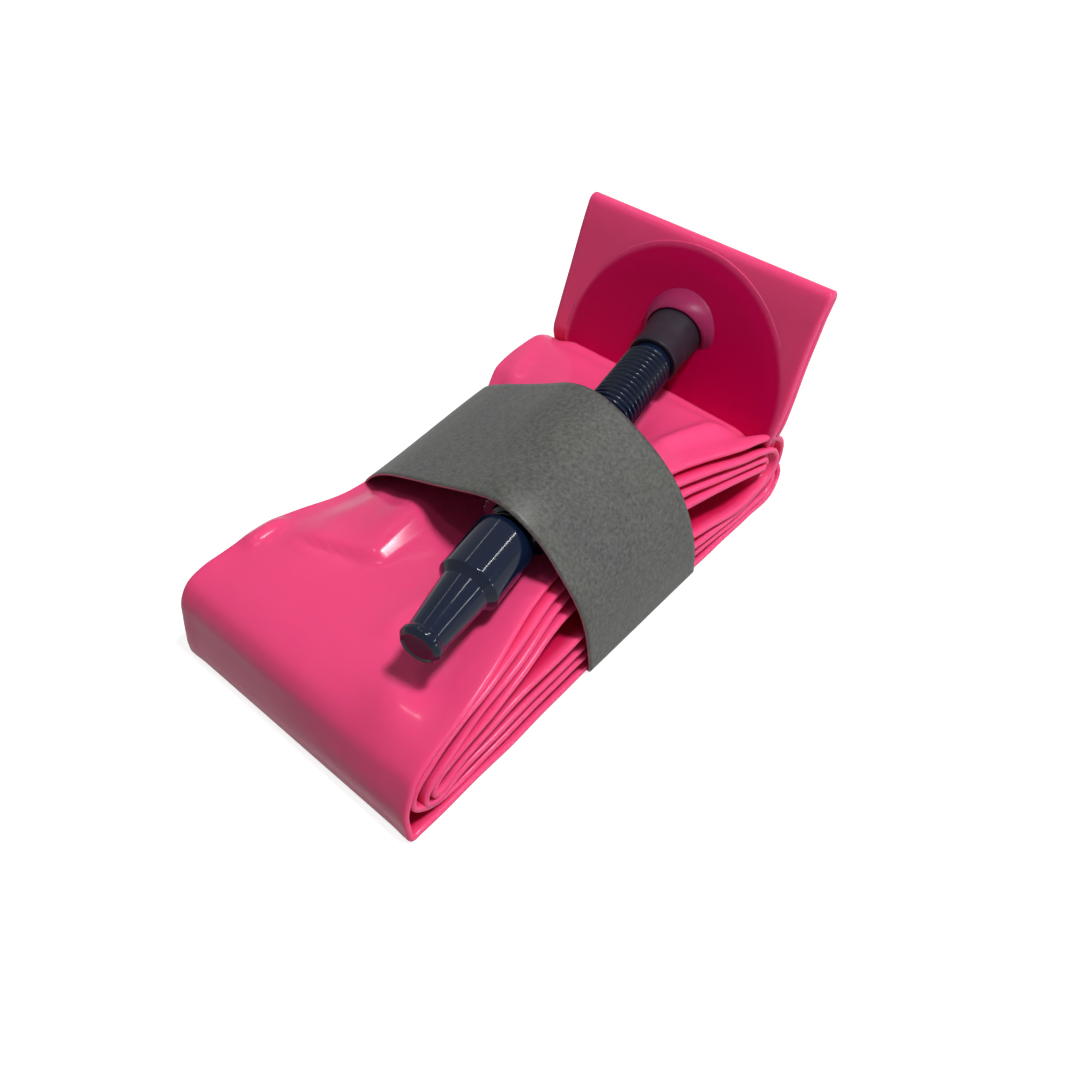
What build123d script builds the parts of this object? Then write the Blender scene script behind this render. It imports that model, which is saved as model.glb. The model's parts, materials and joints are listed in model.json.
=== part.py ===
from build123d import *
import os
from math import cos, radians, sin, tan

# Folded bicycle inner tube with a presta valve, held by a paper band.
# The flattened tube is doubled, rolled up lengthwise and its valve end stands
# up behind the roll. +X points from the front of the roll to the standing
# flap, +Z is up, and z = 0 is the surface that the roll lies on.
# Places along X are first counted from the front face of the roll.

# --- flattened tube ---
tube_width = 36.0           # flat width, across the roll
tube_thickness = 1.1        # two walls lying on each other
wall_thickness = 0.3
layer_gap = 0.1             # between the two strands of the doubled tube
turn_gap = 0.2              # between one turn of the roll and the next
roll_height = 13.0

# --- roll, side view ---
front_bottom_radius = 2.6   # bend radii along the middle of the doubled strand
front_top_radius = 5.5
far_bottom_radius = 3.2
far_top_radius = 2.6
inner_bottom_radius = 1.9
inner_top_radius = 3.2
inner_far_radius = 2.0
flap_bend_radius = 3.0
far_bottom_x = 66.15        # corner where the strand turns under the roll
far_top_inset = 5.85        # from there to the corner where the top run turns down
far_leg_run = 1.6           # how far that leg slopes outwards on its way down
tail_inset = 9.15           # where the rolled-in loop end lies
turn_seam_inset = 12.15     # where the outer turn hands over to the inner one
ramp_length = 4.5           # rise of the roll's underside over the band
ramp_margin = 1.5
ramp_radius = 8.0
ramp_inset = 9.15           # end of the far ramp

# --- standing flap ---
flap_foot_inset = 2.716     # foot of the flap, ahead of the corner under the roll
flap_top_z = 28.0
flap_lean = 23.5            # degrees away from upright, towards +X
flap_bend_z = 10.6
flap_seam_z = 11.7          # where the flap hands over to the outer turn

# --- paper band ---
band_thickness = 0.3
band_width = 20.0
band_travel = 5.0           # how far it slides towards the flap
band_side_clearance = 0.3
band_floor_clearance = 0.15
band_shoulder_rise = 2.0    # shoulder of the band over the roll's top edge
band_ridge_width = 9.4
band_ridge_clearance = 0.35
band_ridge_radius = 4.0
band_shoulder_radius = 3.0
band_foot_radius = 1.0
tab_length = 9.0
tab_inset = 4.0             # from the band's left shoulder
glue_thickness = 0.1
glue_margin = 2.0

# --- valve, measured along its axis from the flap ---
valve_roll_clearance = 0.8  # rim nut to the top of the roll, at the flap's end
valve_side = -0.95
valve_standoff = 0.8        # start of the axis in front of the flap's face
valve_yaw = 11.63           # degrees, tip towards -Y
valve_dip = 0.5             # degrees, tip down
collar_radius = 3.2
collar_length = 6.7
collar_root_radius = 3.4    # shoulder that stops the edge of a rim's hole
collar_root_length = 3.2
collar_wall = 0.65
collar_foot = 1.0           # stem starts this far up the collar
thread_radius = 3.0
thread_depth = 0.42
thread_pitch = 0.8
thread_lead_in = 0.5
stem_bore_radius = 1.6
stem_length = 40.0          # top of the stem
core_seat_depth = 16.0      # of the wide bore that holds the core

# --- patch and flange ---
patch_radius = 14.8
patch_thickness = 0.4
patch_drop = 4.15           # patch centre below the valve, along the flap
patch_bottom_drop = 5.8     # hidden lower edge below the valve
boss_radius = 5.2
boss_height = 1.1
flange_radius = 6.0
flange_thickness = 0.45
pocket_depth = 0.5
pocket_clearance = 0.2

# --- rim nut ---
rim_nut_radius = 4.3
rim_nut_thickness = 3.0
rim_nut_setback = 1.9       # from the top of the stem to the nut's outer face
rim_nut_notches = 24
rim_nut_notch_radius = 0.28
running_clearance = 0.05

# --- valve core, depths and heights from the top of the stem ---
core_depth = 12.0
core_height = 6.4
core_barrel_radius = 1.9
core_thread_radius = 2.4    # part screwed into the stem
core_thread_depth = 6.5
core_tip_radius = 2.6       # part that the cap screws on
core_tip_depth = 0.25
core_tip_pitch = 1.06
core_tip_gap = 0.05
core_flats = 4.0            # across the two spanner flats
core_flats_length = 3.2
core_bore_radius = 1.25
core_guide_length = 1.5
gasket_depth = 9.5
gasket_length = 1.6
gasket_squeeze_gap = 0.03

# --- pin, seal and lock nut ---
pin_radius = 0.75
pin_guide_clearance = 0.07
pin_thread_radius = 1.0
pin_thread_start = 1.6      # above the core
pin_end = 6.8               # above the core
pin_head_length = 1.2
pin_head_radius = 1.2
pin_travel = 1.5
seal_radius = 1.7
seal_thickness = 1.5
seal_gap = 0.05
pin_foot_radius = 1.2
pin_foot_thickness = 0.4
lock_nut_gap = 0.2          # to the core with the pin pressed in
lock_nut_height = 2.0
lock_nut_radius = 2.1
lock_nut_notches = 16
lock_nut_notch_radius = 0.18
lock_nut_clearance = 0.04

# --- dust cap ---
cap_gap = 0.3               # to the top of the stem
cap_body_radius = 3.5
cap_body_length = 7.1
cap_shoulder_length = 1.2
cap_cone_base_radius = 3.05
cap_cone_end_radius = 2.45
cap_length = 16.1
cap_chamfer = 0.6
cap_thread_length = 6.7
cap_chamber_radius = 2.3
cap_chamber_end = 12.2      # from the mouth of the cap
cap_nose_radius = 1.4
cap_nose_end = 13.9

# --- worked out from the sizes above ---
layer_pitch = tube_thickness + layer_gap
strand_half = (tube_thickness + layer_pitch) / 2
turn_pitch = 2 * strand_half + turn_gap
fold_radius = strand_half
lift = band_thickness + band_floor_clearance
bottom_z = strand_half
lifted_z = strand_half + lift
top_z = roll_height - strand_half
inner_bottom_z = lifted_z + turn_pitch
inner_top_z = top_z - turn_pitch
far_top_x = far_bottom_x - far_top_inset
tail_x = far_bottom_x - tail_inset
turn_seam_x = far_bottom_x - turn_seam_inset
ramp_end_x = far_bottom_x - ramp_inset
band_back_x = ramp_end_x - ramp_length - ramp_margin    # at the end of its travel
band_front_x = band_back_x - band_travel - band_width
flap_foot_x = far_bottom_x - flap_foot_inset
flap_top_x = flap_foot_x + (flap_top_z - flap_bend_z) * tan(radians(flap_lean))
valve_height = roll_height + valve_roll_clearance + rim_nut_radius
rim_nut_front = stem_length - rim_nut_setback
core_bottom = stem_length - core_depth
core_top = stem_length + core_height
pin_top = core_top + pin_end
lock_nut_bottom = core_top + pin_travel + lock_nut_gap
cap_bottom = stem_length + cap_gap
overall_length = flap_top_x - fold_radius * sin(radians(flap_lean)) + fold_radius
front_x = -overall_length / 2


def along(x):
    """Model X of a place counted from the front face of the roll."""
    return x + front_x


# ---------------------------------------------------------------- routes
def offset_route(points, radii, distance):
    """Points and radii of a route moved to its left by distance."""
    vectors = [Vector(*p) for p in points]
    runs = [(b - a).normalized() for a, b in zip(vectors, vectors[1:])]
    normals = [Vector(-d.Y, d.X) for d in runs]
    moved = [vectors[0] + normals[0] * distance]
    moved_radii = []
    corners = zip(vectors[1:-1], runs, runs[1:], normals, normals[1:], radii)
    for corner, run_in, run_out, normal_in, normal_out, radius in corners:
        bisector = (normal_in + normal_out).normalized()
        moved.append(corner + bisector * (distance / bisector.dot(normal_in)))
        turn = run_in.X * run_out.Y - run_in.Y * run_out.X
        moved_radii.append(radius - distance if turn > 0 else radius + distance)
    moved.append(vectors[-1] + normals[-1] * distance)
    return moved, moved_radii


def edge_line(points, radii):
    """Straight runs with a tangent arc at each corner."""
    if len(points) == 2:
        return Line(points[0], points[1])
    return FilletPolyline(*points, radius=radii)


def ribbon(points, radii, middle, thickness, width):
    """Strip of constant thickness along a route in the XZ plane, centred on Y."""
    left, left_radii = offset_route(points, radii, middle + thickness / 2)
    right, right_radii = offset_route(points, radii, middle - thickness / 2)
    outline = [
        edge_line(left, left_radii),
        Line(left[-1], right[-1]),
        edge_line(right, right_radii),
        Line(left[0], right[0]),
    ]
    return extrude(Plane.XZ * make_face(outline), amount=width / 2, both=True)


def flap_point(z):
    """Middle of the flap's thickness at a height."""
    return (along(flap_top_x - (flap_top_z - z) * tan(radians(flap_lean))), z)


fold_z = flap_top_z - fold_radius * cos(radians(flap_lean))
flap_route = [flap_point(fold_z), flap_point(flap_seam_z)]

outer_route = [
    flap_point(flap_seam_z),
    flap_point(flap_bend_z),
    (along(far_bottom_x), bottom_z),
    (along(ramp_end_x), bottom_z),
    (along(band_back_x + ramp_margin), lifted_z),
    (along(band_front_x - ramp_margin), lifted_z),
    (along(band_front_x - ramp_margin - ramp_length), bottom_z),
    (along(strand_half), bottom_z),
    (along(strand_half), top_z),
    (along(turn_seam_x), top_z),
]
outer_radii = [
    flap_bend_radius,
    far_bottom_radius,
    ramp_radius,
    ramp_radius,
    ramp_radius,
    ramp_radius,
    front_bottom_radius,
    front_top_radius,
]
inner_front_x = strand_half + turn_pitch
inner_route = [
    (along(turn_seam_x), top_z),
    (along(far_top_x), top_z),
    (along(far_top_x + far_leg_run), inner_bottom_z),
    (along(inner_front_x), inner_bottom_z),
    (along(inner_front_x), inner_top_z),
    (along(tail_x), inner_top_z),
]
inner_radii = [far_top_radius, inner_far_radius, inner_bottom_radius, inner_top_radius]

outer_layer = layer_pitch / 2
inner_layer = -layer_pitch / 2


def tube_strip(route, radii, layer):
    return ribbon(route, radii, layer, tube_thickness, tube_width)


def fold(end, before):
    """Half-round loop end that joins the two strands past the end of a route."""
    direction = (Vector(*end) - Vector(*before)).normalized()
    side = Vector(-direction.Y, direction.X) * fold_radius
    tip = Vector(*end) + direction * fold_radius
    start = Vector(*end) + side
    finish = Vector(*end) - side
    outline = [ThreePointArc(start, tip, finish), Line(finish, start)]
    return extrude(Plane.XZ * make_face(outline), amount=tube_width / 2, both=True)


# ----------------------------------------------------------- valve frames
lean = radians(flap_lean)
flap_normal = Vector(-cos(lean), 0, sin(lean))      # towards the cap
axis_back = strand_half + valve_standoff
axis_flap_z = valve_height - axis_back * sin(lean)
axis_flap_x, _ = flap_point(axis_flap_z)
valve_origin = Vector(axis_flap_x, valve_side, axis_flap_z) + flap_normal * axis_back
yaw = radians(valve_yaw)
dip = radians(valve_dip)
valve_direction = Vector(-cos(dip) * cos(yaw), -cos(dip) * sin(yaw), -sin(dip))
valve_plane = Plane(origin=valve_origin, x_dir=(0, 0, 1), z_dir=valve_direction)
# flap frame: local X is up the flap, local Z leaves its front face
flap_plane = Plane(
    origin=valve_origin - flap_normal * valve_standoff,
    x_dir=(sin(lean), 0, cos(lean)),
    z_dir=flap_normal,
)


def disc(radius, start, end):
    """Cylinder along the local Z axis."""
    height = end - start
    return Pos(0, 0, start) * Cylinder(
        radius, height, align=(Align.CENTER, Align.CENTER, Align.MIN)
    )


def turned(profile):
    """Solid of revolution from (radius, height) points, closed by the axis side."""
    return revolve(Plane.XZ * make_face(Polyline(*profile, close=True)), Axis.Z)


def ringed(start, end, radius, depth, pitch):
    """Outer (radius, height) points of a ringed screw between two heights."""
    count = int((end - start) / pitch)
    crest = pitch * 0.15
    points = [(radius - depth, start)]
    for index in range(count):
        root = start + index * pitch
        points += [
            (radius, root + pitch / 2 - crest),
            (radius, root + pitch / 2 + crest),
            (radius - depth, root + pitch),
        ]
    points.append((radius - depth, end))
    return points


def notched(shape, radius, notch_radius, count, start, end):
    """Shape with round grip notches cut into its rim."""
    for index in range(count):
        place = Rot(0, 0, 360 / count * index) * Pos(radius, 0, 0)
        shape -= place * disc(notch_radius, start, end)
    return shape


def collar_root():
    """Wide foot of the collar, long enough to pass through the flap."""
    return disc(collar_root_radius, -2 * strand_half, collar_root_length)


# ------------------------------------------------------------------ tube
def make_flap_front():
    """Front strand of the flap, with the pocket that holds the valve's flange."""
    strip = tube_strip(flap_route, [], inner_layer)
    pocket = disc(
        flange_radius + pocket_clearance, -wall_thickness - pocket_depth, -wall_thickness
    )
    strip -= flap_plane * pocket
    return strip - valve_plane * collar_root()


def tube_parts():
    return {
        "tube_flap_front": make_flap_front(),
        "tube_flap_back": tube_strip(flap_route, [], outer_layer),
        "tube_flap_fold": fold(flap_route[0], flap_route[1]),
        "tube_outer_turn_outside": tube_strip(outer_route, outer_radii, outer_layer),
        "tube_outer_turn_inside": tube_strip(outer_route, outer_radii, inner_layer),
        "tube_inner_turn_outside": tube_strip(inner_route, inner_radii, outer_layer),
        "tube_inner_turn_inside": tube_strip(inner_route, inner_radii, inner_layer),
        "tube_tail_fold": fold(inner_route[-1], inner_route[-2]),
    }


# ----------------------------------------------------------------- valve
def valve_base_parts():
    """Patch, boss, flange and collar around the stem's foot."""
    collar_space = valve_plane * collar_root()
    patch = Pos(-patch_drop, 0, 0) * disc(patch_radius, 0, patch_thickness)
    below = Pos(-patch_bottom_drop - patch_radius, 0, 0) * Box(
        2 * patch_radius, 3 * patch_radius, 3 * patch_thickness
    )
    patch = flap_plane * (patch - below) - collar_space
    boss = disc(boss_radius, patch_thickness, patch_thickness + boss_height)
    boss = fillet(boss.edges().group_by(Axis.Z)[-1], boss_height * 0.8)
    boss = flap_plane * boss - collar_space
    flange = flap_plane * disc(
        flange_radius, -wall_thickness - flange_thickness, -wall_thickness
    )
    flange -= valve_plane * disc(stem_bore_radius, -3 * strand_half, collar_length)
    collar = collar_root() + disc(collar_radius, collar_root_length, collar_length)
    collar -= disc(stem_bore_radius, -2 * strand_half, collar_foot)
    collar -= disc(collar_radius - collar_wall, collar_foot, collar_length)
    behind = flap_plane * disc(2 * patch_radius, -2 * patch_radius, -wall_thickness)
    collar = valve_plane * collar - behind
    return {
        "valve_patch": patch,
        "valve_boss": boss,
        "valve_flange": flange,
        "valve_collar": collar,
    }


def make_stem():
    """Ringed hollow stem with the wide bore for the core at its top."""
    shank_radius = collar_radius - collar_wall
    screw = ringed(
        collar_length + thread_lead_in,
        stem_length - thread_lead_in,
        thread_radius,
        thread_depth,
        thread_pitch,
    )
    socket_radius = core_thread_radius + running_clearance
    core_seat = stem_length - core_seat_depth
    profile = [(shank_radius, collar_foot), (shank_radius, collar_length)]
    profile += screw
    profile += [
        (thread_radius - thread_depth, stem_length),
        (socket_radius, stem_length),
        (socket_radius, core_seat),
        (stem_bore_radius, core_seat),
        (stem_bore_radius, collar_foot),
    ]
    return turned(profile)


def make_rim_nut():
    back = rim_nut_front - rim_nut_thickness
    nut = disc(rim_nut_radius, back, rim_nut_front)
    nut = chamfer(nut.edges(), 0.3)
    nut -= disc(thread_radius + running_clearance, back, rim_nut_front)
    return notched(
        nut, rim_nut_radius, rim_nut_notch_radius, rim_nut_notches, back, rim_nut_front
    )


def make_core_body():
    """Core housing: barrel, stem screw, and the flatted tip that takes the cap."""
    tip_start = stem_length + core_tip_gap
    thread_start = stem_length - core_thread_depth
    tip = ringed(tip_start, core_top, core_tip_radius, core_tip_depth, core_tip_pitch)
    guide_radius = pin_radius + pin_guide_clearance
    guide_start = core_top - core_guide_length
    profile = [
        (core_bore_radius, core_bottom),
        (core_barrel_radius, core_bottom),
        (core_barrel_radius, thread_start),
        (core_thread_radius, thread_start),
        (core_thread_radius, tip_start),
    ]
    profile += tip
    profile += [
        (guide_radius, core_top),
        (guide_radius, guide_start),
        (core_bore_radius, guide_start),
    ]
    body = turned(profile)
    flats = Box(
        4 * core_tip_radius,
        2 * core_tip_radius,
        2 * core_flats_length,
    )
    offset = core_flats / 2 + core_tip_radius
    for side in (-1, 1):
        body -= Pos(0, side * offset, core_top) * flats
    return body


def make_pin():
    """Plunger: foot under the seal, rod, screwed top and swaged head."""
    seal_top = core_bottom - seal_gap
    foot_top = seal_top - seal_thickness
    pin = disc(pin_foot_radius, foot_top - pin_foot_thickness, foot_top)
    pin += disc(pin_radius, foot_top - pin_foot_thickness, pin_top)
    pin += disc(pin_thread_radius, core_top + pin_thread_start, pin_top)
    pin += disc(pin_head_radius, pin_top - pin_head_length, pin_top)
    return pin


def core_parts():
    seal_top = core_bottom - seal_gap
    socket_radius = core_thread_radius + running_clearance
    gasket_start = stem_length - gasket_depth
    gasket_end = gasket_start + gasket_length
    gasket = disc(socket_radius - gasket_squeeze_gap, gasket_start, gasket_end)
    gasket -= disc(core_barrel_radius, gasket_start, gasket_end)
    seal = disc(seal_radius, seal_top - seal_thickness, seal_top)
    seal -= disc(pin_radius, seal_top - seal_thickness, seal_top)
    lock_top = lock_nut_bottom + lock_nut_height
    lock_nut = disc(lock_nut_radius, lock_nut_bottom, lock_top)
    lock_nut = chamfer(lock_nut.edges(), 0.25)
    lock_nut -= disc(pin_thread_radius + lock_nut_clearance, lock_nut_bottom, lock_top)
    lock_nut = notched(
        lock_nut,
        lock_nut_radius,
        lock_nut_notch_radius,
        lock_nut_notches,
        lock_nut_bottom,
        lock_top,
    )
    return {
        "core_body": make_core_body(),
        "core_gasket": gasket,
        "core_pin": make_pin(),
        "core_seal": seal,
        "core_lock_nut": lock_nut,
    }


def make_dust_cap():
    """Turned cap: body, shoulder, cone and chamfered end, bored from its mouth."""
    mouth_radius = core_tip_radius + running_clearance
    shoulder = cap_bottom + cap_body_length
    cone_base = shoulder + cap_shoulder_length
    end = cap_bottom + cap_length
    profile = [
        (mouth_radius, cap_bottom),
        (cap_body_radius, cap_bottom),
        (cap_body_radius, shoulder),
        (cap_cone_base_radius, cone_base),
        (cap_cone_end_radius, end - cap_chamfer),
        (cap_cone_end_radius - cap_chamfer, end),
        (0, end),
        (0, cap_bottom + cap_nose_end),
        (cap_nose_radius, cap_bottom + cap_nose_end),
        (cap_nose_radius, cap_bottom + cap_chamber_end),
        (cap_chamber_radius, cap_bottom + cap_chamber_end),
        (cap_chamber_radius, cap_bottom + cap_thread_length),
        (mouth_radius, cap_bottom + cap_thread_length),
    ]
    return turned(profile)


# ------------------------------------------------------------------ band
def band_outline():
    """Corners of the band seen along X, from the right foot over the ridge."""
    side = tube_width / 2 + band_side_clearance + band_thickness
    shoulder_z = roll_height + band_shoulder_rise
    nut_middle = rim_nut_front - rim_nut_thickness / 2
    nut_top = (valve_origin + valve_direction * nut_middle).Z + rim_nut_radius
    ridge_z = nut_top + band_ridge_clearance + band_thickness
    middle_x = along(band_front_x + band_width / 2)
    reach = (middle_x - valve_origin.X) / valve_direction.X
    ridge_y = valve_origin.Y + valve_direction.Y * reach
    half = band_ridge_width / 2
    return [
        (-side, 0),
        (-side, shoulder_z),
        (ridge_y - half, ridge_z),
        (ridge_y + half, ridge_z),
        (side, shoulder_z),
        (side, 0),
    ]


def across_band(face, start=0.0, width=band_width):
    """Face drawn in the YZ plane, pulled along X over part of the band's width."""
    plane = Plane(
        origin=(along(band_front_x + start), 0, 0), x_dir=(0, 1, 0), z_dir=(1, 0, 0)
    )
    return extrude(plane * face, amount=width)


def strip_face(start, end, middle, thickness):
    """Straight strip between two places on a line, moved to the line's left."""
    left, _ = offset_route([start, end], [], middle + thickness / 2)
    right, _ = offset_route([start, end], [], middle - thickness / 2)
    return make_face(Polyline(left[0], left[1], right[1], right[0], close=True))


def band_parts():
    corners = band_outline()
    radii = [
        band_foot_radius,
        band_shoulder_radius,
        band_ridge_radius,
        band_ridge_radius,
        band_shoulder_radius,
        band_foot_radius,
    ]
    outer = FilletPolyline(*corners, radius=radii, close=True)
    outer_face = make_face(outer)
    loop = outer_face - offset(outer_face, amount=-band_thickness)
    shoulder = Vector(*corners[4])
    slope = (Vector(*corners[3]) - shoulder).normalized()
    tab_start = shoulder + slope * tab_inset
    tab_end = tab_start + slope * tab_length
    glue_middle = band_thickness + glue_thickness / 2
    tab_middle = band_thickness + glue_thickness + band_thickness / 2
    tab = strip_face(tab_start, tab_end, tab_middle, band_thickness)
    glue_start = tab_start + slope * glue_margin
    glue_end = tab_end - slope * glue_margin
    glue = strip_face(glue_start, glue_end, glue_middle, glue_thickness)
    return {
        "paper_band": across_band(loop),
        "paper_band_tab": across_band(tab),
        "band_glue_strip": across_band(glue, glue_margin, band_width - 2 * glue_margin),
    }


# ------------------------------------------------------------- all parts
def all_parts():
    parts = tube_parts()
    parts.update(valve_base_parts())
    parts["valve_stem"] = valve_plane * make_stem()
    parts["rim_nut"] = valve_plane * make_rim_nut()
    for name, shape in core_parts().items():
        parts[name] = valve_plane * shape
    parts["dust_cap"] = valve_plane * make_dust_cap()
    parts.update(band_parts())
    return parts


os.makedirs("parts", exist_ok=True)
for node, shape in all_parts().items():
    export_step(shape, f"parts/{node}.step")
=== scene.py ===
import json

import bmesh
import bpy
import numpy as np
from mathutils import Matrix, Vector


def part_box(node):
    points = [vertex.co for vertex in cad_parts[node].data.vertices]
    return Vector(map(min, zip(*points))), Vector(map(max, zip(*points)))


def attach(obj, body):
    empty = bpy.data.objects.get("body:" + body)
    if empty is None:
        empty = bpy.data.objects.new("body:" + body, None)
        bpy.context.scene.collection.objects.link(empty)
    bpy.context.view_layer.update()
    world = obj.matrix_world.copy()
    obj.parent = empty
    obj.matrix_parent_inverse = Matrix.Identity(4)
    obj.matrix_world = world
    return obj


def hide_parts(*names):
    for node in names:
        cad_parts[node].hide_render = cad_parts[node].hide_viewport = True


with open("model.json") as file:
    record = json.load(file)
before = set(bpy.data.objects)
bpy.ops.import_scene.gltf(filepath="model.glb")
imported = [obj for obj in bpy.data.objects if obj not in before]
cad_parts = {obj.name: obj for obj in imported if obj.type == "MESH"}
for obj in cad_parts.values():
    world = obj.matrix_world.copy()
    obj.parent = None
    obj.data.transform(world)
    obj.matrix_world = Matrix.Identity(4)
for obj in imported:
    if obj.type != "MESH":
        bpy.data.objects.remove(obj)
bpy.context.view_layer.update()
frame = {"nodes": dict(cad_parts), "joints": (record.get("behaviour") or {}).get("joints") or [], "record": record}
cadNodes = frame["nodes"]
joints = {joint["name"]: joint for joint in frame["joints"]}
mm = 0.001
print("frame loaded")

# Working units are millimetres. x is counted from the front of the roll, y across it
# and z up. modelPoints turns such points into the frame's metres.
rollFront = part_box("tube_outer_turn_outside")[0].x / mm
collarSeat = frame["record"]["mounts"][0]
seatPlace = 4.95                                  # from the valve's foot, along the valve
valveAxis = np.array(joints["cap_pull"]["axis"], float)
valveFoot = np.array(collarSeat["pos_m"], float) / mm - seatPlace * valveAxis
valveFoot[0] -= rollFront


def modelPoints(points):  # x plus the roll's front, all times one millimetre
    moved = np.array(points, float)
    moved[..., 0] += rollFront
    return moved * mm


def smoothStep(low, high, t):  # 0 below low, 1 above high, cubic ease in between
    u = np.clip((t - low) / (high - low), 0, 1)
    return u * u * (3 - 2 * u)


def bell(t, centre, width):  # exp of minus the squared distance in widths
    return np.exp(-(((t - centre) / width) ** 2))


def window(t, start, full, fade, end):  # eases in from start to full, out from fade to end
    return smoothStep(start, full, t) * smoothStep(end, fade, t)


def unit(vectors):  # each vector over its length
    return vectors / np.linalg.norm(vectors, axis=-1, keepdims=True)


def hermite(t, start, startSlope, end, endSlope):
    # cubic from start at t = 0 to end at t = 1 that leaves and arrives with the slopes
    return (
        (2 * t**3 - 3 * t**2 + 1) * start + (t**3 - 2 * t**2 + t) * startSlope
        + (3 * t**2 - 2 * t**3) * end + (t**3 - t**2) * endSlope
    )


def roundedRoute(points, radii, step=None, support=None, closed=False):
    # straight runs joined by tangent arcs: each arc's centre is one radius to the inner
    # side of the run, radius * tan(half the turn) before the corner; support adds a point
    # that far before and after each arc, which keeps the flats flat when shaded smooth
    points = np.array(points, float)
    corners = range(len(points)) if closed else range(1, len(points) - 1)
    route = [] if closed else [points[0]]
    for number, i in enumerate(corners):
        before, corner, after = points[i - 1], points[i], points[(i + 1) % len(points)]
        runIn, runOut = unit(corner - before), unit(after - corner)
        cross = runIn[0] * runOut[1] - runIn[1] * runOut[0]
        turn = np.arctan2(cross, runIn @ runOut)
        radius = radii[number]
        cut = radius * np.tan(abs(turn) / 2)
        side = np.array([-runIn[1], runIn[0]]) * np.sign(turn)
        centre = corner - runIn * cut + side * radius
        if support:
            route.append(corner - runIn * (cut + support))
        count = max(3, int(abs(turn) * (8 if support else 24)))   # points per radian
        angles = np.linspace(0, turn, count)
        arm = -side * radius
        c, s = np.cos(angles), np.sin(angles)
        route += list(centre + np.stack([arm[0] * c - arm[1] * s, arm[0] * s + arm[1] * c], 1))
        if support:
            route.append(corner + runOut * (cut + support))
    if not closed:
        route.append(points[-1])
    route = np.array(route)
    return evenRoute(route, step, closed) if step else route


def evenRoute(route, step, closed=False):  # the same line with its points step apart
    if closed:
        route = np.concatenate([route, route[:1]])
    far = np.concatenate([[0], np.cumsum(np.linalg.norm(np.diff(route, axis=0), axis=1))])
    count = int(far[-1] / step) + 1
    at = np.linspace(0, far[-1], count + 1 if closed else count)
    even = np.stack([np.interp(at, far, route[:, k]) for k in range(route.shape[1])], 1)
    return even[:-1] if closed else even


def curveThrough(points, count):
    # smooth line through points, by distance: hermite pieces whose slopes are the mean of
    # the neighbouring runs
    points = np.array(points, float)
    far = np.concatenate([[0], np.cumsum(np.linalg.norm(np.diff(points, axis=0), axis=1))])
    slope = np.gradient(points, far, axis=0)
    at = np.linspace(0, far[-1], count)
    k = np.clip(np.searchsorted(far, at, "right") - 1, 0, len(far) - 2)
    h = (far[k + 1] - far[k])[:, None]
    t = (at - far[k])[:, None] / h
    return hermite(t, points[k], h * slope[k], points[k + 1], h * slope[k + 1])


def meshPiece(name, grid, aroundU=False, aroundV=False, merge=False, attribute=None):
    # quads between neighbouring points of a (rows, columns, 3) grid in metres; merge joins
    # the points that meet in a pole; attribute is a name and one value per point
    rows, columns = grid.shape[:2]
    index = np.arange(rows * columns).reshape(rows, columns)
    if aroundU:
        index = np.concatenate([index, index[:1]], 0)
    if aroundV:
        index = np.concatenate([index, index[:, :1]], 1)
    quads = np.stack(
        [index[:-1, :-1], index[1:, :-1], index[1:, 1:], index[:-1, 1:]], -1
    ).reshape(-1, 4)
    mesh = bpy.data.meshes.new(name)
    mesh.vertices.add(rows * columns)
    mesh.vertices.foreach_set("co", grid.reshape(-1).astype(np.float32))
    mesh.loops.add(quads.size)
    mesh.loops.foreach_set("vertex_index", quads.reshape(-1).astype(np.int32))
    mesh.polygons.add(len(quads))
    mesh.polygons.foreach_set("loop_start", np.arange(0, quads.size, 4, dtype=np.int32))
    mesh.update(calc_edges=True)
    if attribute:
        layer = mesh.attributes.new(attribute[0], "FLOAT", "POINT")
        layer.data.foreach_set("value", np.asarray(attribute[1], np.float32).ravel())
    work = bmesh.new()
    work.from_mesh(mesh)
    if merge:
        bmesh.ops.remove_doubles(work, verts=work.verts, dist=1e-7)
    bmesh.ops.recalc_face_normals(work, faces=work.faces)
    work.to_mesh(mesh)
    work.free()
    mesh.polygons.foreach_set("use_smooth", np.ones(len(mesh.polygons), bool))
    piece = bpy.data.objects.new(name, mesh)
    bpy.context.scene.collection.objects.link(piece)
    return piece


def finishPiece(piece, body, material, slot, *replaced):  # its body, look and CAD nodes
    piece.data.materials.clear()
    piece.data.materials.append(material)
    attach(piece, body)
    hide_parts(*replaced)
    print("made", piece.name, len(piece.data.polygons), "faces")


def newMaterial(name, **values):  # values are shader sockets, with _ for a space
    material = bpy.data.materials.new(name)
    material.use_nodes = True
    shader = material.node_tree.nodes["Principled BSDF"]
    for socket, value in values.items():
        shader.inputs[socket.replace("_", " ")].default_value = value
    return material, material.node_tree, shader


def addNode(tree, kind, inputs=(), **settings):
    # shader node in the tree; an input is a value, or the socket that it is joined to
    node = tree.nodes.new(kind)
    for key, value in settings.items():
        setattr(node, key, value)
    for socket, value in dict(inputs).items():
        if isinstance(value, bpy.types.NodeSocket):
            tree.links.new(value, node.inputs[socket])
        else:
            node.inputs[socket].default_value = value
    return node


def colourRamp(tree, source, stops):  # stops are (position, colour)
    ramp = addNode(tree, "ShaderNodeValToRGB", {"Fac": source})
    ramp.color_ramp.elements[0].position, ramp.color_ramp.elements[0].color = stops[0]
    ramp.color_ramp.elements[1].position, ramp.color_ramp.elements[1].color = stops[-1]
    for position, colour in stops[1:-1]:
        ramp.color_ramp.elements.new(position).color = colour
    return ramp.outputs["Color"]


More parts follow.
